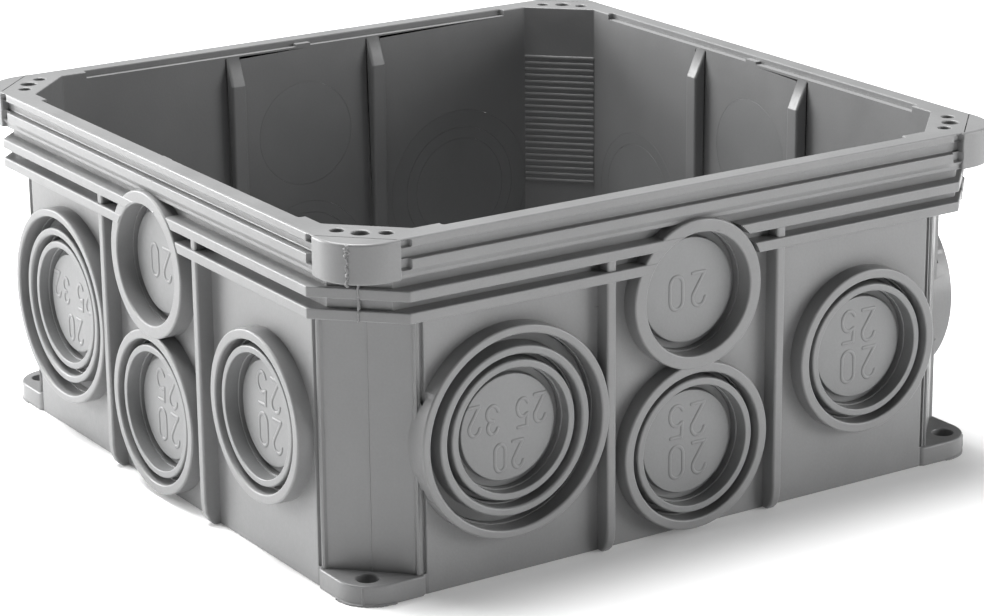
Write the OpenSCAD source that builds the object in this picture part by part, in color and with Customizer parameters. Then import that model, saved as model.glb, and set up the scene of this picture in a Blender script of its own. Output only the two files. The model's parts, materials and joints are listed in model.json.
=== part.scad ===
// Square wall box for electrical installation.
// One moulded body with sixteen collared conduit entries, each closed by
// concentric break-out pieces. Millimetres, +Z up, the floor on Z = 0,
// the open mouth at the top. The front wall faces -Y.

/* [Box] */
// width over the flat outer wall faces
box_w = 126.4; // [100:0.2:160]
// overall height
box_h = 60; // [45:0.5:90]
// thickness of the walls
wall_t = 2; // [1.5:0.1:3]
// thickness of the floor
floor_t = 2; // [1.5:0.1:4]
// width of one end of the corner cut, along each wall
corner_cut = 11; // [8:0.5:14]
// how far the corner face sits back behind the wall ends
corner_step = 0.3; // [0.1:0.1:1]
// length of the sloped end of each wall beside the corner faces
corner_slope = 1.3; // [0:0.1:4]

/* [Mouth] */
// width over the two bands around the mouth
rim_w = 131.4; // [105:0.2:165]
// height of the mouth band from its lower lip to the top face
rim_h = 6.5; // [5:0.1:9]
// depth of the groove between the two bands
rim_groove = 1.3; // [0.5:0.1:1.4]
// radius of the rounded corner blocks
block_r = 7.9; // [6:0.1:9]
// depth and height of the seat for a lid inside the mouth
seat_t = 1.2; // [0.8:0.05:1.6]
// half length of the lid seat along each wall
seat_l = 46.2; // [30:0.1:50]
// lid screw hole radius
lid_hole_r = 1.4; // [1:0.05:2]
// radius of the small plain hole at each side of a lid screw hole
side_hole_r = 1.1; // [0.8:0.05:1.5]
// distance of a lid screw hole from the middle planes
lid_hole_at = 58.9; // [55:0.1:60]

/* [Flanges and ribs] */
// width over the flanges and the outer ribs
flange_w = 132.8; // [110:0.2:170]
// thickness of each flange
flange_t = 1.8; // [1.2:0.1:3]
// underside of the upper flange
flange1_z = 49.95; // [40:0.05:55]
// underside of the lower flange
flange2_z = 46.45; // [36:0.05:52]
// distance of the outer ribs from the middle of a wall
rib_at = 17; // [16:0.1:20]
// thickness of the outer ribs
rib_t = 1.8; // [1:0.1:3]
// distance of the inner ribs from the middle of a wall
inner_rib_at = 15.5; // [14:0.1:18]
// thickness of the inner ribs
inner_rib_t = 3; // [1.5:0.1:4]

/* [Feet] */
// thickness of the fixing feet
foot_t = 3.5; // [2:0.1:6]
// rounding of the feet
foot_r = 6.2; // [3:0.1:8]
// radius of the fixing holes
foot_hole_r = 1.85; // [1.5:0.05:3]
// distance of a fixing hole from the middle planes
foot_hole_at = 59.3; // [55:0.1:60]

/* [Conduit entries] */
// width over the front lips of the collars
lip_w = 132.4; // [110:0.2:170]
// bore radius for 20 mm conduit
r20 = 10.4; // [10.2:0.05:11]
// bore radius for 25 mm conduit
r25 = 12.7; // [12.6:0.05:13]
// bore radius for 32 mm conduit
r32 = 16.2; // [16.1:0.05:16.6]
// outer radius of the collar round a single 20 mm entry
c20 = 12.7; // [12:0.05:13]
// outer radius of the collars with a 25 mm bore
c25 = 14.45; // [14:0.05:14.6]
// outer radius of the collar with a 32 mm bore
c32 = 17.7; // [17:0.05:17.8]
// outer radius of the 25 mm collar inside a 32 mm entry
i25 = 14.1; // [13.6:0.05:14.6]
// outer radius of the thin 20 mm collar inside a 25 mm entry
i20 = 11.65; // [11.2:0.05:12]
// how far the 25 mm collar inside a 32 mm entry stands back from the lip
back25 = 0.65; // [0:0.05:1.2]
// how far the 20 mm collar of a triple entry stands back
back20_triple = 1.15; // [0:0.05:1.5]
// how far the 20 mm collar of a double entry stands back
back20 = 0.55; // [0:0.05:1.5]
// outer radius of the flat middle of the smallest break-outs
plateau_r = 8.9; // [8:0.1:9.8]
// thickness of the weak web round each break-out
web_t = 0.8; // [0.5:0.1:1.2]
// gap left round each break-out
gap = 0.05; // [0.02:0.01:0.1]
// how much narrower the wall is than the bore in front of it, as a stop for the conduit
stop = 0.2; // [0.1:0.05:0.5]
// sideways place of the triple entry
u32 = -35.2; // [-37:0.1:-34]
// height of the triple entry
z32 = 24.95; // [20:0.05:30]
// sideways place of the side entry
u25 = 36; // [34:0.1:38]
// height of the side entry
z25 = 24.95; // [20:0.05:30]
// height of the lower middle entry
zlow = 15.25; // [15:0.05:20]
// height of the upper middle entry
zup = 41.45; // [40:0.05:43]

/* [Hidden] */
$fn = 64;
w = box_w / 2;
wi = w - wall_t;
rim = rim_w / 2;
tip = flange_w / 2;
lip = lip_w / 2;
end = w - corner_cut;
diag_out = w + end - 0.8;
face_end = diag_out - w + corner_step;
diag_in = 112.3 + (box_w - 126.4) - 2 * (corner_cut - 11) * 0.5;
rim_z = box_h - rim_h;
tip_end = 121.2 - 66.4 + (tip - 66.4);
notch0 = 54;
notch1 = 55.8;
notch_d = 1;
body_grey = [0.52, 0.53, 0.53];
ring_grey = [0.50, 0.51, 0.51];

// ---- outlines in plan ----

// square of half width h whose corners are cut on the line x + y = d
module cut_square(h, d) {
  e = d - h;
  polygon([[h, e], [e, h], [-e, h], [-h, e], [-h, -e], [-e, -h], [e, -h], [h, -e]]);
}

// the same, with the corner face set back behind the wall ends
module wall_outline() {
  s = corner_step;
  f = face_end;
  e = f - corner_slope;
  polygon([[w, e], [w - s, f], [f, w - s], [e, w],
    [-e, w], [-f, w - s], [-w + s, f], [-w, e],
    [-w, -e], [-w + s, -f], [-f, -w + s], [-e, -w],
    [e, -w], [f, -w + s], [w - s, -f], [w, -e]]);
}

// ---- things on one wall, drawn for the front wall and turned by k ----

module on_wall(k) {
  rotate([0, 0, 90 * k]) children();
}

// a cylinder square to the front wall, from depth y0 out to y1
module out_cyl(u, z, r, y0, y1) {
  translate([u, -y0, z]) rotate([90, 0, 0]) cylinder(r = r, h = y1 - y0);
}

// a section drawn in depth and height, with a thickness along the wall
module along_wall(u, t) {
  translate([u + t / 2, 0, 0]) rotate([90, 0, -90]) linear_extrude(t) children();
}

module outer_ribs() {
  for (s = [-1, 1]) along_wall(s * rib_at, rib_t)
    polygon([[w - 0.6, 0], [w + 1, 0], [w + 2, 0.9], [w + 2.6, 2.3], [tip - 0.4, 4.3],
      [tip - 0.4, flange1_z + 0.6], [w - 0.6, flange1_z + 0.6]]);
}

module inner_ribs() {
  for (s = [-1, 1]) along_wall(s * inner_rib_at, inner_rib_t)
    polygon([[wi + 0.3, box_h - seat_t], [wi, box_h - seat_t], [wi - 2.4, box_h - 6.6],
      [wi - 2.4, floor_t / 2], [wi + 0.3, floor_t / 2]]);
}

// thickening of the walls behind the flanges, which fills their corners
module flange_backing() {
  translate([0, 0, flange2_z + 0.1]) linear_extrude(rim_z + 0.5 - flange2_z)
    cut_square(w + 0.4, tip + tip_end - 1.3);
}

module collars() {
  out_cyl(u32, z32, c32, wi, lip);
  out_cyl(0, zup, c20, wi, lip);
  out_cyl(0, zlow, c25, wi, lip);
  out_cyl(u25, z25, c25, wi, lip);
}

// a conduit bore that ends on a narrow stop at the outer face of the wall
module bore(u, z, r) {
  out_cyl(u, z, r, w, lip + 1);
  out_cyl(u, z, r - stop, wi - 0.5, w + 0.5);
}

module bores() {
  bore(u32, z32, r32);
  bore(0, zup, r20);
  bore(0, zlow, r25);
  bore(u25, z25, r25);
}

// the flanges end just short of the right-hand side of the upper collar
module flange_relief() {
  intersection() {
    out_cyl(0, zup, c20 + 0.6, w, tip + 1);
    translate([4, -tip - 2, flange2_z - 1]) cube([12, tip - w + 2, rim_z - flange2_z + 0.9]);
  }
}

// a groove between the bands, and small notches where the bands stop short of the corner blocks
module rim_grooves() {
  translate([-notch1, -rim - 1, box_h - 3.4]) cube([2 * notch1, 1 + rim_groove, 1.9]);
  for (m = [0, 1]) mirror([m, 0, 0]) for (z = [[box_h - 5, 1.9], [box_h - 1.5, 1.25]])
    translate([notch0, -rim - 1, z[0]]) cube([notch1 - notch0, 1 + notch_d, z[1]]);
  along_wall(0, 109.6)
    polygon([[rim + 1, rim_z - 1], [rim - 0.5, rim_z - 1], [rim - 0.5, rim_z + 0.7],
      [rim, rim_z + 1.5], [rim + 1, rim_z + 1.5]]);
}

// seat for a lid, with a small catch left in the middle
module lid_seat() {
  difference() {
    translate([-seat_l, -wi - seat_t - 0.1, box_h - seat_t]) cube([2 * seat_l, seat_t + 0.6, seat_t + 1]);
    translate([-1.6, -wi - seat_t - 1, box_h - 0.75]) cube([3.2, seat_t + 1, 2]);
  }
}

// ---- the corners ----

module at_corners() {
  for (k = [0:3]) rotate([0, 0, 90 * k]) children();
}

module foot() {
  c = w + 0.4 - foot_r;
  difference() {
    union() {
      translate([c, c, 0]) cylinder(r = foot_r, h = foot_t);
      linear_extrude(foot_t)
        polygon([[end - 0.6, w + 0.4], [c, w + 0.4], [c, c], [w + 0.4, c], [w + 0.4, end - 0.6], [w - 1.2, end - 2.6], [end - 2.6, w - 1.2]]);
    }
    translate([foot_hole_at, foot_hole_at, -1]) cylinder(r = foot_hole_r, h = foot_t + 2);
  }
}

module corner_block() {
  c = rim + 0.2 - block_r;
  intersection() {
    translate([0, 0, rim_z]) linear_extrude(rim_h) union() {
      translate([c, c]) circle(r = block_r);
      polygon([[52, 58], [notch1, 58], [notch1, rim + 0.2], [c, rim + 0.2], [c, c], [rim + 0.2, c], [rim + 0.2, notch1], [58, notch1], [58, 52], [52, 52]]);
    }
    translate([0, 0, rim_z - 1]) linear_extrude(rim_h + 2)
      polygon([[diag_in - 80, 80], [80, 80], [80, diag_in - 80]]);
  }
}

module lid_holes() {
  translate([lid_hole_at, lid_hole_at, box_h - 5.2]) cylinder(r = lid_hole_r, h = 6);
  for (s = [-1, 1])
    translate([lid_hole_at - 0.5 + s * 2.75, lid_hole_at - 0.5 - s * 2.75, box_h - 4.2]) cylinder(r = side_hole_r, h = 6);
}

// ---- the moulded body ----

module box_body() {
  color(body_grey) difference() {
    union() {
      // walls
      linear_extrude(box_h - 1) wall_outline();
      // mouth band
      difference() {
        translate([0, 0, rim_z]) linear_extrude(rim_h) cut_square(rim, rim + 57);
        for (k = [0:3]) on_wall(k) rim_grooves();
      }
      // flanges round the outside
      difference() {
        union() {
          translate([0, 0, flange1_z]) linear_extrude(flange_t) cut_square(tip, tip + tip_end);
          translate([0, 0, flange2_z]) linear_extrude(flange_t) cut_square(tip, tip + tip_end);
        }
        for (k = [0:3]) on_wall(k) flange_relief();
      }
      for (k = [0:3]) on_wall(k) {
        collars();
        outer_ribs();
      }
      flange_backing();
      at_corners() {
        foot();
        corner_block();
      }
    }
    // the cavity
    difference() {
      translate([0, 0, floor_t]) linear_extrude(box_h) cut_square(wi, diag_in);
      for (k = [0:3]) on_wall(k) inner_ribs();
    }
    for (k = [0:3]) on_wall(k) {
      bores();
      lid_seat();
    }
    at_corners() lid_holes();
  }
}

// ---- break-out pieces ----

// the piece that opens a 32 mm bore: a web with the 25 mm collar on it
module ring32() {
  difference() {
    union() {
      out_cyl(u32, z32, r32 - stop - gap, wi, wi + web_t);
      out_cyl(u32, z32, i25, wi, lip - back25);
    }
    bore(u32, z32, r25);
  }
}

// the piece that opens a 25 mm bore: a web with the 20 mm collar on it
module ring25(u, z, back) {
  difference() {
    union() {
      out_cyl(u, z, r25 - stop - gap, wi, wi + web_t);
      out_cyl(u, z, i20, wi, lip - back);
    }
    bore(u, z, r20);
  }
}

// the piece that opens a 20 mm bore
module disc20(u, z) {
  out_cyl(u, z, r20 - stop - gap, wi, wi + web_t);
  out_cyl(u, z, plateau_r, wi, w);
}

module front_triple_ring32() { color(ring_grey) on_wall(0) ring32(); }
module front_triple_ring25() { color(ring_grey) on_wall(0) ring25(u32, z32, back20_triple); }
module front_triple_disc20() { color(ring_grey) on_wall(0) disc20(u32, z32); }
module front_upper_disc20() { color(ring_grey) on_wall(0) disc20(0, zup); }
module front_lower_ring25() { color(ring_grey) on_wall(0) ring25(0, zlow, back20); }
module front_lower_disc20() { color(ring_grey) on_wall(0) disc20(0, zlow); }
module front_side_ring25() { color(ring_grey) on_wall(0) ring25(u25, z25, back20); }
module front_side_disc20() { color(ring_grey) on_wall(0) disc20(u25, z25); }

module right_triple_ring32() { color(ring_grey) on_wall(1) ring32(); }
module right_triple_ring25() { color(ring_grey) on_wall(1) ring25(u32, z32, back20_triple); }
module right_triple_disc20() { color(ring_grey) on_wall(1) disc20(u32, z32); }
module right_upper_disc20() { color(ring_grey) on_wall(1) disc20(0, zup); }
module right_lower_ring25() { color(ring_grey) on_wall(1) ring25(0, zlow, back20); }
module right_lower_disc20() { color(ring_grey) on_wall(1) disc20(0, zlow); }
module right_side_ring25() { color(ring_grey) on_wall(1) ring25(u25, z25, back20); }
module right_side_disc20() { color(ring_grey) on_wall(1) disc20(u25, z25); }

module back_triple_ring32() { color(ring_grey) on_wall(2) ring32(); }
module back_triple_ring25() { color(ring_grey) on_wall(2) ring25(u32, z32, back20_triple); }
module back_triple_disc20() { color(ring_grey) on_wall(2) disc20(u32, z32); }
module back_upper_disc20() { color(ring_grey) on_wall(2) disc20(0, zup); }
module back_lower_ring25() { color(ring_grey) on_wall(2) ring25(0, zlow, back20); }
module back_lower_disc20() { color(ring_grey) on_wall(2) disc20(0, zlow); }
module back_side_ring25() { color(ring_grey) on_wall(2) ring25(u25, z25, back20); }
module back_side_disc20() { color(ring_grey) on_wall(2) disc20(u25, z25); }

module left_triple_ring32() { color(ring_grey) on_wall(3) ring32(); }
module left_triple_ring25() { color(ring_grey) on_wall(3) ring25(u32, z32, back20_triple); }
module left_triple_disc20() { color(ring_grey) on_wall(3) disc20(u32, z32); }
module left_upper_disc20() { color(ring_grey) on_wall(3) disc20(0, zup); }
module left_lower_ring25() { color(ring_grey) on_wall(3) ring25(0, zlow, back20); }
module left_lower_disc20() { color(ring_grey) on_wall(3) disc20(0, zlow); }
module left_side_ring25() { color(ring_grey) on_wall(3) ring25(u25, z25, back20); }
module left_side_disc20() { color(ring_grey) on_wall(3) disc20(u25, z25); }

box_body();
front_triple_ring32();
front_triple_ring25();
front_triple_disc20();
front_upper_disc20();
front_lower_ring25();
front_lower_disc20();
front_side_ring25();
front_side_disc20();
right_triple_ring32();
right_triple_ring25();
right_triple_disc20();
right_upper_disc20();
right_lower_ring25();
right_lower_disc20();
right_side_ring25();
right_side_disc20();
back_triple_ring32();
back_triple_ring25();
back_triple_disc20();
back_upper_disc20();
back_lower_ring25();
back_lower_disc20();
back_side_ring25();
back_side_disc20();
left_triple_ring32();
left_triple_ring25();
left_triple_disc20();
left_upper_disc20();
left_lower_ring25();
left_lower_disc20();
left_side_ring25();
left_side_disc20();
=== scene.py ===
import json
import math
import random

import bmesh
import bpy
from mathutils import Matrix, Vector

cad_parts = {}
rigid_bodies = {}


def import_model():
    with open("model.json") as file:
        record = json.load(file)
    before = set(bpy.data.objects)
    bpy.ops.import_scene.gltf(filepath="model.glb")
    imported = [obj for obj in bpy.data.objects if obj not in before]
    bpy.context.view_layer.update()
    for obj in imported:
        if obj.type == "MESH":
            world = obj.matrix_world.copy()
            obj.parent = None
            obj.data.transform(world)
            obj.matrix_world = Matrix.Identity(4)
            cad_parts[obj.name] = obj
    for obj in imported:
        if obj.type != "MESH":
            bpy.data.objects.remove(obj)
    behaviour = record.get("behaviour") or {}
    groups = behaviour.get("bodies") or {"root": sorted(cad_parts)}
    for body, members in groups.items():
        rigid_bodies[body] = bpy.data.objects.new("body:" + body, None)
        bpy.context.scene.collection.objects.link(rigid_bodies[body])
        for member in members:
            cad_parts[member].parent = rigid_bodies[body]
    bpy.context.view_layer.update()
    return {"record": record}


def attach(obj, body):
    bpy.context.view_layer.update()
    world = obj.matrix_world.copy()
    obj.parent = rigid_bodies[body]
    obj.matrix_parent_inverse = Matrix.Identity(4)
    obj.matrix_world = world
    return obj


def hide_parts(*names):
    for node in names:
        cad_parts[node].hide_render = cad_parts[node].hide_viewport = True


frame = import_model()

rnd = random.Random(74)

# ------------------------------------------------------------------ camera
# millimetres in the part's frame, at the photograph's viewing angle
TARGET = Vector((2.281, -1.117, 21.7))
AZ, EL, ROLL = math.radians(-32.964), math.radians(17.658), math.radians(-0.563)
DIST, FOCAL_PX = 566.771, 3137.229

away = Vector((math.sin(AZ) * math.cos(EL), -math.cos(AZ) * math.cos(EL), math.sin(EL)))
fwd = -away
right = fwd.cross(Vector((0, 0, 1))).normalized()
up = right.cross(fwd)
right2 = right * math.cos(ROLL) + up * math.sin(ROLL)
up2 = -right * math.sin(ROLL) + up * math.cos(ROLL)
cam_data = bpy.data.cameras.new("camera")
cam_data.sensor_width = 36
cam_data.lens = FOCAL_PX / 984 * 36
cam_data.clip_start = 0.01
cam = bpy.data.objects.new("camera", cam_data)
bpy.context.scene.collection.objects.link(cam)
m = Matrix((right2, up2, away)).transposed().to_4x4()
m.translation = (TARGET + away * DIST) * 0.001
cam.matrix_world = m
bpy.context.scene.camera = cam

# ------------------------------------------------------------------ sizes, mm, the same as in the part's source
W, WI, RIM, TIP, LIP = 63.2, 61.2, 65.7, 66.4, 66.2
END = 52.2
DIAG_IN = 112.3
TIP_END = 54.8
H, RIM_Z = 60.0, 53.5
R20, R25, R32 = 10.4, 12.7, 16.2
C20, C25, C32, I20, I25 = 12.7, 14.45, 17.7, 11.65, 14.1
STOP, GAP, WEB = 0.2, 0.02, 0.8
PLATEAU = 8.9
ENTRIES = {"triple": (-35.2, 24.95), "upper": (0, 41.45), "lower": (0, 15.25), "side": (36, 24.95)}
WALLS = ["front", "right", "back", "left"]

# ------------------------------------------------------------------ mesh helpers, all in mm until the end
work = bpy.data.collections.new("work")
bpy.context.scene.collection.children.link(work)


def V2(p):
    return Vector((p[0], p[1]))


def ccw(poly):
    a = sum(p[0] * q[1] - q[0] * p[1] for p, q in zip(poly, poly[1:] + poly[:1]))
    return list(poly) if a > 0 else list(poly)[::-1]


def rounded(poly, radii, seg=4):
    """The polygon with its corners rounded: radii is one number, or one for each corner."""
    n = len(poly)
    if not isinstance(radii, (list, tuple)):
        radii = [radii] * n
    out = []
    for i in range(n):
        p, q, s = V2(poly[i - 1]), V2(poly[i]), V2(poly[(i + 1) % n])
        a, b = (p - q), (s - q)
        la, lb = a.length, b.length
        a, b = a / la, b / lb
        ang = a.angle(b)
        r = radii[i]
        if r <= 0 or ang > math.pi - 0.02:
            out.append(q)
            continue
        t = min(r / math.tan(ang / 2), 0.48 * la, 0.48 * lb)
        r = t * math.tan(ang / 2)
        c = q + (a + b).normalized() * (r / math.sin(ang / 2))
        v0, v1 = q + a * t - c, q + b * t - c
        full = v0.angle(v1)
        k = max(1, round(seg * full / (math.pi / 2)))
        sgn = 1 if v0.x * v1.y - v0.y * v1.x > 0 else -1
        for j in range(k + 1):
            w = sgn * full * j / k
            out.append(c + Vector((v0.x * math.cos(w) - v0.y * math.sin(w), v0.x * math.sin(w) + v0.y * math.cos(w))))
    return out


def offset(poly, d):
    if abs(d) < 1e-9:
        return list(poly)
    n, out = len(poly), []
    for i in range(n):
        p, q, s = poly[i - 1], poly[i], poly[(i + 1) % n]
        e1, e2 = (q - p).normalized(), (s - q).normalized()
        n1, n2 = Vector((e1.y, -e1.x)), Vector((e2.y, -e2.x))
        out.append(q + (n1 + n2) * (d / max(0.3, 1 + n1.dot(n2))))
    return out


def solid(verts, faces, name="s"):
    me = bpy.data.meshes.new(name)
    me.from_pydata([tuple(v) for v in verts], [], faces)
    bm = bmesh.new()
    bm.from_mesh(me)
    bmesh.ops.recalc_face_normals(bm, faces=bm.faces)
    bm.to_mesh(me)
    bm.free()
    ob = bpy.data.objects.new(name, me)
    work.objects.link(ob)
    return ob


def skin(rings, closed_v=False, caps=True):
    """Faces that join rings of one length, with flat ends."""
    n, k = len(rings[0]), len(rings)
    verts = [v for r in rings for v in r]
    faces = []
    for j in range(k if closed_v else k - 1):
        a, b = j * n, ((j + 1) % k) * n
        faces += [(a + i, a + (i + 1) % n, b + (i + 1) % n, b + i) for i in range(n)]
    if caps and not closed_v:
        faces.append(tuple(range(n))[::-1])
        faces.append(tuple(range((k - 1) * n, k * n)))
    return verts, faces


def edge_prof(z0, z1, r0, r1, seg=4):
    """Heights and offsets of a wall with rounded ends. A negative radius flares outwards instead."""
    out = []
    if r0:
        s = 1 if r0 > 0 else -1
        r = abs(r0)
        for j in range(seg + 1):
            a = math.pi / 2 * j / seg
            out.append((z0 + r * (1 - math.cos(a)), -s * r * (1 - math.sin(a))))
    else:
        out.append((z0, 0))
    if r1:
        s = 1 if r1 > 0 else -1
        r = abs(r1)
        for j in range(seg + 1):
            a = math.pi / 2 * j / seg
            out.append((z1 - r * (1 - math.sin(a)), -s * r * (1 - math.cos(a))))
    else:
        out.append((z1, 0))
    return out


def prism(poly, prof, place=lambda x, y, z: (x, y, z)):
    """An outline swept up through (height, offset) pairs."""
    poly = [V2(p) for p in poly]
    rings = [[place(p.x, p.y, z) for p in offset(poly, o)] for z, o in prof]
    return solid(*skin(rings))


def along(section, u0, u1, r=0.3, seg=4):
    """A section in depth and height, drawn along the front wall from u0 to u1 with rounded end edges."""
    return prism(ccw(section), edge_prof(u0, u1, r, r, seg), lambda d, z, u: (u, -d, z))


def lathe(prof, u, z, seg=96):
    """A closed profile of (radius, depth) turned about an axis square to the front wall. Radius 0 is a pole."""
    rings, verts, faces = [], [], []
    for r, d in prof:
        if r <= 1e-9:
            rings.append([len(verts)])
            verts.append((u, -d, z))
        else:
            rings.append(list(range(len(verts), len(verts) + seg)))
            verts += [(u + r * math.cos(2 * math.pi * i / seg), -d, z + r * math.sin(2 * math.pi * i / seg)) for i in range(seg)]
    k = len(rings)
    for j in range(k):
        a, b = rings[j], rings[(j + 1) % k]
        if len(a) == 1 and len(b) == 1:
            continue
        if len(a) == 1:
            faces += [(a[0], b[(i + 1) % seg], b[i]) for i in range(seg)]
        elif len(b) == 1:
            faces += [(a[i], a[(i + 1) % seg], b[0]) for i in range(seg)]
        else:
            faces += [(a[i], a[(i + 1) % seg], b[(i + 1) % seg], b[i]) for i in range(seg)]
    return solid(verts, faces)


def rprof(points, radii, seg=5):
    """A lathe profile with rounded corners; the points on the axis stay sharp."""
    return [(max(0.0, p[0]), p[1]) for p in rounded(points, radii, seg)]


def turned(ob, k):
    """A copy turned to wall k."""
    c = ob.copy()
    c.data = ob.data.copy()
    c.data.transform(Matrix.Rotation(math.pi / 2 * k, 4, "Z"))
    work.objects.link(c)
    return c


def drop(obs):
    for o in obs:
        me = o.data
        bpy.data.objects.remove(o)
        if me.users == 0:
            bpy.data.meshes.remove(me)


def combine(base, others, op, name="s"):
    """base with the others added to it or cut from it, as one clean closed mesh."""
    for o in others:
        b = base.modifiers.new("b", "BOOLEAN")
        b.operation, b.solver, b.object = op, "MANIFOLD", o
    dg = bpy.context.evaluated_depsgraph_get()
    dg.update()
    me = bpy.data.meshes.new_from_object(base.evaluated_get(dg))
    me.name = name
    drop([base] + list(others))
    ob = bpy.data.objects.new(name, me)
    work.objects.link(ob)
    return ob


def join(obs, name="s"):
    """Separate closed shells that don't touch, as one object."""
    bm = bmesh.new()
    for o in obs:
        bm.from_mesh(o.data)
    me = bpy.data.meshes.new(name)
    bm.to_mesh(me)
    bm.free()
    drop(obs)
    ob = bpy.data.objects.new(name, me)
    work.objects.link(ob)
    return ob


def bead(path, half, high, base, closed=False, seg=6, taper=True):
    """A raised line with a round top. path gives (u, z) points, base the depth of the face that it stands on."""
    pts = [V2(p) for p in path]
    n = len(pts)
    rings = []
    for i in range(n):
        a = pts[i - 1] if (i or closed) else pts[i]
        b = pts[(i + 1) % n] if (i < n - 1 or closed) else pts[i]
        t = (b - a).normalized()
        s = Vector((-t.y, t.x))
        f = 1.0
        ring = []
        for j in range(seg + 1):
            w = math.pi * j / seg
            ring.append((pts[i] + s * (half * f * math.cos(w)), base + high * math.sin(w)))
        ring = [(pts[i] - s * 0 + s * half * f, base - 0.25)] + ring + [(pts[i] - s * half * f, base - 0.25)]
        rings.append([(q.x, -d, q.y) for q, d in ring])
    if not closed and taper:
        for end, step in ((0, 1), (n - 1, -1)):
            p, q = pts[end], pts[end + step]
            t = (p - q).normalized()
            s = Vector((-t.y, t.x)) * (1 if end else -1)
            extra = []
            for e in range(1, 5):
                a = math.pi / 2 * e / 4.6
                c, w = p + t * (half * math.sin(a)), math.cos(a)
                ring = [(c + s * (half * w * math.cos(math.pi * j / seg)), base + high * w * math.sin(math.pi * j / seg)) for j in range(seg + 1)]
                ring = [(c + s * half * w, base - 0.25)] + ring + [(c - s * half * w, base - 0.25)]
                extra.append([(x.x, -d, x.y) for x, d in ring])
            rings = extra[::-1] + rings if end == 0 else rings + extra
    return solid(*skin(rings, closed_v=closed))


def arc(cx, cy, rx, ry, a0, a1, n):
    return [(cx + rx * math.cos(math.radians(a0 + (a1 - a0) * i / n)), cy + ry * math.sin(math.radians(a0 + (a1 - a0) * i / n))) for i in range(n + 1)]


# strokes of the size numbers, in a cell one wide and two high
GLYPHS = {
    "0": [("closed", arc(0.5, 1.5, 0.5, 0.5, 0, 180, 10) + arc(0.5, 0.5, 0.5, 0.5, 180, 360, 10))],
    "2": [("open", arc(0.5, 1.5, 0.5, 0.5, 172, -28, 12) + [(0.72, 0.95), (0.36, 0.45), (0.04, 0.02)]), ("open", [(0.04, 0.0), (0.5, 0.0), (1.0, 0.0)])],
    "3": [("open", arc(0.48, 1.52, 0.46, 0.47, 165, -82, 12)), ("open", arc(0.48, 0.54, 0.52, 0.54, 95, -165, 14))],
    "5": [("open", [(0.1, 2.0), (0.5, 2.0), (0.92, 2.0)]), ("open", [(0.1, 2.0), (0.07, 1.55), (0.04, 1.12)]), ("open", arc(0.47, 0.64, 0.53, 0.64, 128, -150, 14))],
}


def numerals(ch, u, z, wide, high):
    """The strokes of one figure, centred on (u, z) and turned upside down, as they stand on the real box."""
    gw, gh = wide - 0.66, high - 0.66
    out = []
    for kind, pts in GLYPHS[ch]:
        path = [(u - (p[0] - 0.5) * gw, z - (p[1] - 1) * gh / 2) for p in pts]
        out.append(bead(path, 0.34, 0.15, W - 0.02, kind == "closed"))
    return out


# ------------------------------------------------------------------ break-out pieces
made = []


def finish_piece(ob, name, sharp=38):
    """Scale to metres, shade, and weight the normals so that flat faces stay flat."""
    me = ob.data
    me.transform(Matrix.Scale(0.001, 4))
    bm = bmesh.new()
    bm.from_mesh(me)
    bmesh.ops.remove_doubles(bm, verts=bm.verts, dist=1e-7)
    for e in bm.edges:
        e.smooth = len(e.link_faces) == 2 and e.calc_face_angle(0) < math.radians(sharp)
    for f in bm.faces:
        f.smooth = True
    bm.to_mesh(me)
    bm.free()
    ob.name = me.name = name
    work.objects.unlink(ob)
    bpy.context.scene.collection.objects.link(ob)
    wn = ob.modifiers.new("normals", "WEIGHTED_NORMAL")
    wn.keep_sharp, wn.weight, wn.mode = True, 60, "FACE_AREA"
    made.append(ob)
    return ob


def ring_piece(u, z, web_r, out_r, in_r, back, ro=0.42, ri=0.3):
    lip = LIP - back
    pts = [(in_r - STOP, WI), (web_r, WI), (web_r, WI + WEB), (out_r, WI + WEB), (out_r, lip), (in_r, lip), (in_r, W), (in_r - STOP, W)]
    return lathe(rprof(pts, [0.05, 0.05, 0.1, 0.3, ro, ri, 0.05, 0.05]), u, z)


def disc_piece(u, z, kind):
    pts = [(0, WI), (R20 - STOP - GAP, WI), (R20 - STOP - GAP, WI + WEB), (PLATEAU, WI + WEB), (PLATEAU, W), (0, W)]
    d = lathe(rprof(pts, [0, 0.05, 0.1, 0.25, 0.22, 0]), u, z)
    if kind == "upper":
        n = numerals("0", u - 2.3, z - 0.2, 3.2, 6.3) + numerals("2", u + 2.2, z - 0.2, 3.2, 6.3)
    elif kind == "triple":
        n = (numerals("2", u - 6.3, z + 2.1, 2.7, 5.4) + numerals("3", u - 2.9, z + 1.7, 2.7, 5.4)
             + numerals("5", u + 2.8, z + 1.9, 2.7, 5.4) + numerals("2", u + 6.1, z + 2.1, 2.7, 5.4)
             + numerals("0", u - 1.5, z - 4.9, 2.6, 5.2) + numerals("2", u + 1.9, z - 4.85, 2.6, 5.2))
    else:
        n = (numerals("5", u - 2.1, z + 3.8, 3.3, 6.2) + numerals("2", u + 2.3, z + 3.5, 3.3, 6.2)
             + numerals("0", u - 2.0, z - 3.3, 3.3, 6.2) + numerals("2", u + 2.6, z - 3.3, 3.3, 6.2))
    return combine(d, n, "UNION")


pieces = {}
u, z = ENTRIES["triple"]
pieces["triple_ring32"] = ring_piece(u, z, R32 - STOP - GAP, I25, R25, 0.65, 0.35, 0.42)
pieces["triple_ring25"] = ring_piece(u, z, R25 - STOP - GAP, I20, R20, 1.15, 0.34, 0.2)
for kind in ("lower", "side"):
    u, z = ENTRIES[kind]
    pieces[kind + "_ring25"] = ring_piece(u, z, R25 - STOP - GAP, I20, R20, 0.55, 0.34, 0.2)
for kind, (u, z) in ENTRIES.items():
    pieces[kind + "_disc20"] = disc_piece(u, z, kind)

# ------------------------------------------------------------------ the body
adds, cuts, late = [], [], []

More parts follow.
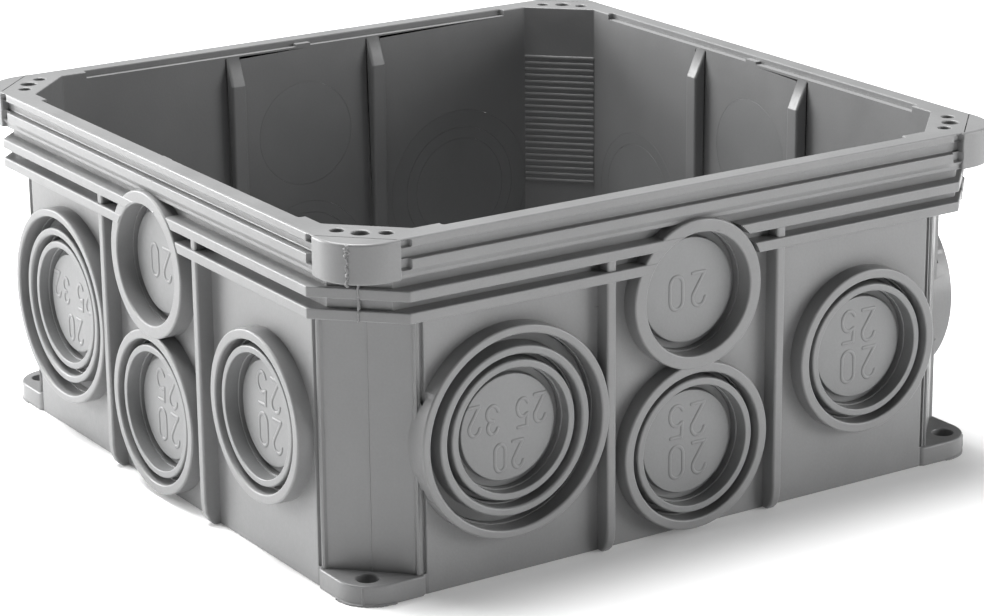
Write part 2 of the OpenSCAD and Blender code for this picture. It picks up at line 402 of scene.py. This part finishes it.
# walls, with small steps at the corner faces
q = [(W, 50.4), (W - 0.3, 51.7), (51.7, W - 0.3), (50.4, W)]
outline = []
for k in range(4):
    for p in q:
        a = math.pi / 2 * k
        outline.append((p[0] * math.cos(a) - p[1] * math.sin(a), p[0] * math.sin(a) + p[1] * math.cos(a)))
wall_poly = rounded(outline, [0.2, 0.3, 0.3, 0.2] * 4, 3)
walls = prism(wall_poly, edge_prof(0, H, 0.35, 0))


def cut_square(h, d):
    e = d - h
    return [(h, -e), (h, e), (e, h), (-e, h), (-h, e), (-h, -e), (-e, -h), (e, -h)]


for z0 in (49.95, 46.45):
    adds.append(prism(rounded(cut_square(TIP, TIP + TIP_END), 0.5, 4), edge_prof(z0, z0 + 1.8, 0.2, 0.26)))
for k in range(4):
    relief = lathe(rprof([(0, W + 0.02), (C20 + 0.55, W + 0.02), (C20 + 0.55, TIP + 1), (0, TIP + 1)], 0), *ENTRIES["upper"])
    keep = along([(W - 1, 44), (TIP + 2, 44), (TIP + 2, RIM_Z - 0.1), (W - 1, RIM_Z - 0.1)], 4, 16, 0)
    piece = combine(relief, [keep], "INTERSECT")
    r = turned(piece, k)
    drop([piece])
    for i in range(2):
        b = adds[i].modifiers.new("b", "BOOLEAN")
        b.operation, b.solver, b.object = "DIFFERENCE", "MANIFOLD", r
    cuts.append(r)
dg = bpy.context.evaluated_depsgraph_get()
for i in range(2):
    me = bpy.data.meshes.new_from_object(adds[i].evaluated_get(dg))
    o = bpy.data.objects.new("flange", me)
    work.objects.link(o)
    drop([adds[i]])
    adds[i] = o
drop(cuts)
cuts = []

# behind the flanges and the bands the shell is filled out to their corners
adds.append(prism(rounded(cut_square(W + 0.4, TIP + TIP_END - 1.3), 0.15, 2), [(46.55, 0), (54.0, 0)]))
adds.append(prism(cut_square(64.4, 121.4), [(RIM_Z + 0.01, 0), (H - 0.01, 0)]))

# one wall's worth, then turned
one = []
band = rounded(ccw([(60.5, RIM_Z), (RIM - 0.5, RIM_Z), (RIM - 0.5, RIM_Z + 0.7), (RIM, RIM_Z + 1.5), (RIM, 56.6), (RIM - 1.3, 56.6), (RIM - 1.3, 58.5), (RIM, 58.5), (RIM, H), (60.5, H)]),
               [0, 0.2, 0.3, 0.4, 0.2, 0.25, 0.25, 0.24, 0.3, 0], 5)
one.append(prism(band, [(-56.5, 0), (56.5, 0)], lambda d, zz, uu: (uu, -d, zz)))
rib = rounded(ccw([(W - 0.6, 0), (W + 1, 0), (W + 2, 0.9), (W + 2.6, 2.3), (TIP - 0.4, 4.3), (TIP - 0.4, 50.5), (W - 0.6, 50.5)]), [0, 0.4, 1, 1, 1, 0, 0], 4)
for x in (-17, 17):
    one.append(prism(rib, edge_prof(x - 0.9, x + 0.9, 0.42, 0.42), lambda d, zz, uu: (uu, -d, zz)))
for kind, c, rr in (("triple", C32, 0.36), ("lower", C25, 0.36), ("side", C25, 0.36)):
    one.append(lathe(rprof([(0, WI), (c, WI), (c, LIP), (0, LIP)], [0, 0, rr, 0], 6), *ENTRIES[kind], 128))
# the upper collar stands a hair further out, so that its outline runs over the lower one
one.append(lathe(rprof([(0, WI), (C20, WI), (C20, LIP + 0.12), (0, LIP + 0.12)], [0, 0, 0.34, 0], 6), *ENTRIES["upper"], 128))
# the corner at the right-hand end of the front wall: foot and screw block
c = W + 0.4 - 6.2
foot = [(END - 0.6, W + 0.4), (END - 2.6, W - 1.2), (W - 1.2, END - 2.6), (W + 0.4, END - 0.6)]
foot_poly = [V2(p) for p in foot] + [V2((c + 6.2 * math.cos(a), c + 6.2 * math.sin(a))) for a in [math.pi / 2 * i / 14 for i in range(15)]]
one.append(prism(ccw(foot_poly), edge_prof(0, 3.5, 0.3, 0.35)))
# a fine edge where each wall meets the corner face
for e in ([(51.75, 62.4), (51.75, 62.98), (52.0, 63.12), (52.3, 62.9), (52.3, 62.0)],):
    for sw in (0, 1):
        one.append(prism(ccw([(q[0], q[1]) if sw else (q[1], q[0]) for q in e]), [(0.4, 0), (46.6, 0)]))
c = RIM + 0.2 - 7.9
blk = [(56.5, 55.8), (RIM + 0.2, 55.8)] + [(c + 7.9 * math.cos(a), c + 7.9 * math.sin(a)) for a in [math.pi / 2 * i / 16 for i in range(17)]] + [(55.8, RIM + 0.2), (55.8, 56.5)]
blk = rounded(ccw(blk), [0.1, 0.35] + [0] * 17 + [0.35, 0.1], 3)
one.append(prism(blk, edge_prof(RIM_Z, H, 0.3, 0.45, 5)))

for k in range(4):
    adds += [turned(o, k) for o in one]
drop(one)
body = combine(walls, adds, "UNION", "body_add")

# the cavity, flared a little at the mouth
cav = rounded(cut_square(WI, DIAG_IN), 0.5, 4)
cuts.append(prism(cav, [(2.0, -0.6), (2.08, -0.3), (2.3, -0.08), (2.6, 0), (59.75, 0), (59.9, 0.05), (60.0, 0.18), (61, 1.2)]))


def bore_cut(kind, r, ri=0.32):
    u, z = ENTRIES[kind]
    lip = LIP + (0.12 if kind == "upper" else 0)
    fl = [(r + ri * (1 - math.cos(a)), lip - ri * (1 - math.sin(a))) for a in [math.pi / 2 * i / 5 for i in range(6)]]
    return lathe([(0, WI - 1), (r - STOP, WI - 1), (r - STOP, W), (r, W)] + fl + [(r + ri, lip + 1), (0, lip + 1)], u, z, 128)


one = [bore_cut("triple", R32, 0.36), bore_cut("upper", R20), bore_cut("lower", R25), bore_cut("side", R25)]
# seat for a lid, with its edges eased at the top
seat = rounded([(-46.2, -WI - 1.2), (46.2, -WI - 1.2), (46.2, -WI + 3), (-46.2, -WI + 3)], 0.35, 3)
one.append(prism(seat, [(58.8, 0), (59.8, 0), (59.92, 0.05), (60.0, 0.15), (61, 1.0)]))
# notches where the bands stop short of the corner blocks
for mx in (1, -1):
    for z0, z1 in ((55.0, 56.9), (58.5, 59.75)):
        q4 = rounded(ccw([(54.0 * mx, z0), (55.8 * mx, z0), (55.8 * mx, z1), (54.0 * mx, z1)]), 0.35, 3)
        one.append(prism(q4, [(RIM - 0.8, -0.25), (RIM - 0.6, -0.05), (RIM - 0.2, 0), (RIM, 0.14), (RIM + 1, 0.6)], lambda uu, zz, d: (uu, -d, zz)))
for (x, y, r, dep, fl) in ((58.9, 58.9, 1.4, 5.2, 0.3), (58.9 - 0.5 + 2.75, 58.9 - 0.5 - 2.75, 1.1, 4.2, 0.25), (58.9 - 0.5 - 2.75, 58.9 - 0.5 + 2.75, 1.1, 4.2, 0.25)):
    circ = [V2((x + r * math.cos(2 * math.pi * i / 32), y + r * math.sin(2 * math.pi * i / 32))) for i in range(32)]
    one.append(prism(circ, [(H - dep, 0), (H - fl, 0), (H - fl * 0.4, fl * 0.35), (H, fl), (H + 0.5, fl + 0.5)]))
circ = [V2((59.3 + 1.85 * math.cos(2 * math.pi * i / 40), 59.3 + 1.85 * math.sin(2 * math.pi * i / 40))) for i in range(40)]
one.append(prism(circ, [(-0.5, 0.2), (0, 0.2), (0.2, 0), (3.2, 0), (3.42, 0.08), (3.5, 0.28), (4, 0.6)]))
for sw in (0, 1):
    e = [(50.45, 63.9), (51.45, 63.9), (51.3, 62.62), (50.75, 62.62)]
    one.append(prism(ccw([(q[0], q[1]) if sw else (q[1], q[0]) for q in e]), [(3.55, -0.1), (3.7, 0), (46.3, 0), (46.42, -0.1)]))
for k in range(4):
    cuts += [turned(o, k) for o in one]
drop(one)
body = combine(body, cuts, "DIFFERENCE", "body_cut")

# what stands inside the mouth, and the fine marks of the mould
one = []
ribi = rounded(ccw([(WI + 0.3, H - 1.2), (WI, H - 1.2), (WI - 2.4, H - 6.6), (WI - 2.4, 1.0), (WI + 0.3, 1.0)]), [0, 0, 0.8, 0, 0], 4)
for x in (-15.5, 15.5):
    one.append(prism(ribi, edge_prof(x - 1.5, x + 1.5, 0.5, 0.5), lambda d, zz, uu: (uu, -d, zz)))
one.append(along([(WI - 0.02, 58.4), (WI + 1.6, 58.4), (WI + 1.6, 59.3), (WI - 0.02, 59.3)], -1.6, 1.6, 0.12, 2))
for k in range(4):
    late += [turned(o, k) for o in one]
drop(one)

# fine horizontal ridges on the corner faces inside
bars = []
t = math.sqrt(0.5)
for i in range(21):
    zc = 24.2 + 1.28 * i
    sec = [(DIAG_IN * t + 0.5, zc - 0.42)] + [(DIAG_IN * t + 0.02 - 0.27 * math.sin(math.pi * j / 6), zc - 0.40 * math.cos(math.pi * j / 6)) for j in range(7)] + [(DIAG_IN * t + 0.5, zc + 0.42)]
    bars.append(prism(ccw(sec), edge_prof(-7.05, 7.05, 0.12, 0.12, 2), lambda d, zz, uu: ((d + uu) * t, (d - uu) * t, zz)))
bars = join(bars)
late += [turned(bars, k) for k in range(4)]
drop([bars])


def corner_line(k, stations):
    """A thin raised line down a corner. Each station is (height, distance out along the diagonal, half width, proud, sideways)."""
    a = math.pi / 4 + math.pi / 2 * k
    ca, sa = math.cos(a), math.sin(a)
    rings = []
    for zc, dist, hw, pr, side in stations:
        ring = []
        for du, dd in ((-hw, -0.4), (hw, -0.4), (hw, 0), (hw * 0.55, pr * 0.85), (0, pr), (-hw * 0.55, pr * 0.8), (-hw, 0)):
            d, uu = dist + dd, du + side
            ring.append((d * ca - uu * sa, d * sa + uu * ca, zc))
        rings.append(ring)
    return solid(*skin(rings))


for k in range(4):
    r = random.Random(11 + k)
    out_d = (W + END - 0.8) * t
    late.append(corner_line(k, [(0.4 + 45.9 * i / 30, out_d, 0.09 + 0.02 * r.random(), 0.07 + 0.03 * r.random(), 0.02 * r.random()) for i in range(31)]))
    blk_d = c * math.sqrt(2) + 7.9
    big = 1.0 if k == 2 else 0.45
    late.append(corner_line(k, [(RIM_Z - 0.25 + 6.6 * i / 26, blk_d, (0.16 + 0.2 * r.random() + 0.12 * (i > 18)) * (0.35 + 0.65 * big), (0.2 + 0.3 * r.random()) * big, -0.55 * big + 0.4 * (r.random() - 0.5) * big) for i in range(27)]))
    late.append(corner_line(k, [(46.35 + 6.0 * i / 22, (TIP + TIP_END) * t, (0.13 + 0.12 * r.random()) * (0.5 + 0.5 * big), (0.14 + 0.16 * r.random()) * big, 0.16 * (r.random() - 0.5)) for i in range(23)]))
    late.append(corner_line(k, [(0.25 + 3.0 * i / 8, 57.4 * math.sqrt(2) + 6.2, 0.14 + 0.05 * r.random(), 0.08 + 0.06 * r.random(), 0.05 * r.random()) for i in range(9)]))
    # ragged lower edge of the foot
    a0 = [math.pi / 2 * (i + 0.5) / 40 for i in range(-4, 44)]
    rag = [(57.4 + (6.2 + 0.08 + 0.22 * r.random() * big) * math.cos(a), 57.4 + (6.2 + 0.08 + 0.22 * r.random() * big) * math.sin(a)) for a in a0]
    rag = prism(ccw([(57.4, 61.6), (61.6, 57.4)] + rag), [(0.02, 0), (0.3, 0), (0.45, -0.18)])
    late.append(turned(rag, k))
    drop([rag])
body = combine(body, late, "UNION", "box_shell")

# ------------------------------------------------------------------ material
def grey_plastic(name, colour, seed, rough=0.46):
    """Matte moulded plastic: faint flow marks, a satin grain, and small scuffs."""
    mat = bpy.data.materials.new(name)
    mat.use_nodes = True
    nt = mat.node_tree
    nt.nodes.clear()
    L = nt.links.new

    def node(kind, **kw):
        n = nt.nodes.new(kind)
        for k, v in kw.items():
            setattr(n, k, v)
        return n

    out = node("ShaderNodeOutputMaterial")
    bsdf = node("ShaderNodeBsdfPrincipled")
    bsdf.inputs["IOR"].default_value = 1.49
    bsdf.inputs["Specular IOR Level"].default_value = 0.42
    L(bsdf.outputs[0], out.inputs[0])
    tc = node("ShaderNodeTexCoord")
    mp = node("ShaderNodeMapping")
    mp.inputs["Location"].default_value = (seed * 0.37, seed * 0.21, seed * 0.11)
    L(tc.outputs["Object"], mp.inputs[0])

    def noise(scale, detail=3, rough_=0.5, stretch=None):
        n = node("ShaderNodeTexNoise")
        n.inputs["Scale"].default_value = scale
        n.inputs["Detail"].default_value = detail
        n.inputs["Roughness"].default_value = rough_
        src = mp.outputs[0]
        if stretch:
            m2 = node("ShaderNodeMapping")
            m2.inputs["Scale"].default_value = stretch
            L(src, m2.inputs[0])
            src = m2.outputs[0]
        L(src, n.inputs["Vector"])
        return n.outputs["Fac"]

    def ramp(fac, lo, hi, p0=0.3, p1=0.7):
        r = node("ShaderNodeMapRange")
        r.inputs["From Min"].default_value = p0
        r.inputs["From Max"].default_value = p1
        r.inputs["To Min"].default_value = lo
        r.inputs["To Max"].default_value = hi
        L(fac, r.inputs["Value"])
        return r.outputs[0]

    def mul(a, b):
        m_ = node("ShaderNodeMath", operation="MULTIPLY")
        for i, v in enumerate((a, b)):
            if isinstance(v, (int, float)):
                m_.inputs[i].default_value = v
            else:
                L(v, m_.inputs[i])
        return m_.outputs[0]

    def add(a, b):
        m_ = node("ShaderNodeMath", operation="ADD")
        for i, v in enumerate((a, b)):
            if isinstance(v, (int, float)):
                m_.inputs[i].default_value = v
            else:
                L(v, m_.inputs[i])
        return m_.outputs[0]

    flow = noise(38, 4, 0.55, (1, 1, 0.45))      # marks 20 to 40 mm long, drawn up the wall
    blotch = noise(120, 3, 0.5)
    grain = noise(2600, 2, 0.6)
    fine = noise(900, 3, 0.6)
    tone = mul(mul(ramp(flow, 0.955, 1.045), ramp(blotch, 0.975, 1.025)), ramp(grain, 0.975, 1.025))
    mix = node("ShaderNodeMix", data_type="RGBA", blend_type="MULTIPLY")
    mix.inputs["Factor"].default_value = 1
    mix.inputs["A"].default_value = (*colour, 1)
    comb = node("ShaderNodeCombineColor")
    for i in range(3):
        L(tone, comb.inputs[i])
    L(comb.outputs[0], mix.inputs["B"])
    L(mix.outputs["Result"], bsdf.inputs["Base Color"])
    rgh = add(add(ramp(flow, rough - 0.05, rough + 0.05), ramp(blotch, -0.03, 0.03)), ramp(fine, -0.04, 0.04))
    L(rgh, bsdf.inputs["Roughness"])
    b1 = node("ShaderNodeBump")
    b1.inputs["Strength"].default_value = 0.35
    b1.inputs["Distance"].default_value = 0.00004
    L(grain, b1.inputs["Height"])
    b2 = node("ShaderNodeBump")
    b2.inputs["Strength"].default_value = 0.3
    b2.inputs["Distance"].default_value = 0.0002
    L(blotch, b2.inputs["Height"])
    L(b1.outputs[0], b2.inputs["Normal"])
    L(b2.outputs[0], bsdf.inputs["Normal"])
    return mat


body_mat = grey_plastic("body_grey_plastic", (0.180, 0.181, 0.182), 1, 0.38)
ring_mat = grey_plastic("breakout_grey_plastic", (0.174, 0.176, 0.177), 5, 0.39)

# ------------------------------------------------------------------ place the pieces on their bodies
shell = finish_piece(body, "box_shell")
shell.data.materials.clear()
shell.data.materials.append(body_mat)
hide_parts("box_body")
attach(shell, "box")

body_of = {n: b for b, ns in frame["record"]["behaviour"]["bodies"].items() for n in ns}
for kind, src in pieces.items():
    for k, wall in enumerate(WALLS):
        node_name = f"{wall}_{kind}"
        o = turned(src, k)
        o = finish_piece(o, node_name + "_moulding")
        o.data.materials.clear()
        o.data.materials.append(ring_mat)
        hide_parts(node_name)
        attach(o, body_of[node_name])
drop(list(pieces.values()))
assert not work.objects, [o.name for o in work.objects]
bpy.data.collections.remove(work)

# ------------------------------------------------------------------ stage and light
def floor_piece():
    me = bpy.data.meshes.new("floor")
    r = 4.0
    me.from_pydata([(-r, -r, 0), (r, -r, 0), (r, r, 0), (-r, r, 0)], [], [(0, 1, 2, 3)])
    ob = bpy.data.objects.new("floor", me)
    bpy.context.scene.collection.objects.link(ob)
    mat = bpy.data.materials.new("floor_white")
    mat.use_nodes = True
    b = mat.node_tree.nodes["Principled BSDF"]
    b.inputs["Base Color"].default_value = (0.86, 0.86, 0.86, 1)
    b.inputs["Roughness"].default_value = 0.9
    b.inputs["Emission Color"].default_value = (1, 1, 1, 1)
    b.inputs["Emission Strength"].default_value = 0.1
    b.inputs["Specular IOR Level"].default_value = 0.1
    me.materials.append(mat)
    return ob


floor_piece()


def area(name, direction, dist, size_x, size_y, power, aim=(0, 0, 0.03)):
    d = bpy.data.lights.new(name, "AREA")
    d.shape = "RECTANGLE"
    d.size, d.size_y = size_x, size_y
    d.energy = power
    o = bpy.data.objects.new(name, d)
    bpy.context.scene.collection.objects.link(o)
    v = Vector(direction).normalized()
    o.location = Vector(aim) + v * dist
    o.rotation_euler = (-v).to_track_quat("-Z", "Y").to_euler()
    return o


area("soft_left", (-0.62, 0.78, 0.2), 0.75, 0.4, 0.4, 8.2)
area("soft_right", (0.70, -0.70, 0.12), 0.75, 0.4, 0.4, 4.8)
area("soft_top", (-0.1, 0.3, 0.94), 0.9, 0.6, 0.6, 22)

world = bpy.data.worlds.new("studio")
bpy.context.scene.world = world
world.use_nodes = True
wn = world.node_tree
wn.nodes.clear()
wo = wn.nodes.new("ShaderNodeOutputWorld")
bg = wn.nodes.new("ShaderNodeBackground")
bg.inputs["Color"].default_value = (1, 1, 1, 1)
bg.inputs["Strength"].default_value = 0.155
wn.links.new(bg.outputs[0], wo.inputs[0])
bpy.context.scene.view_settings.view_transform = "Standard"
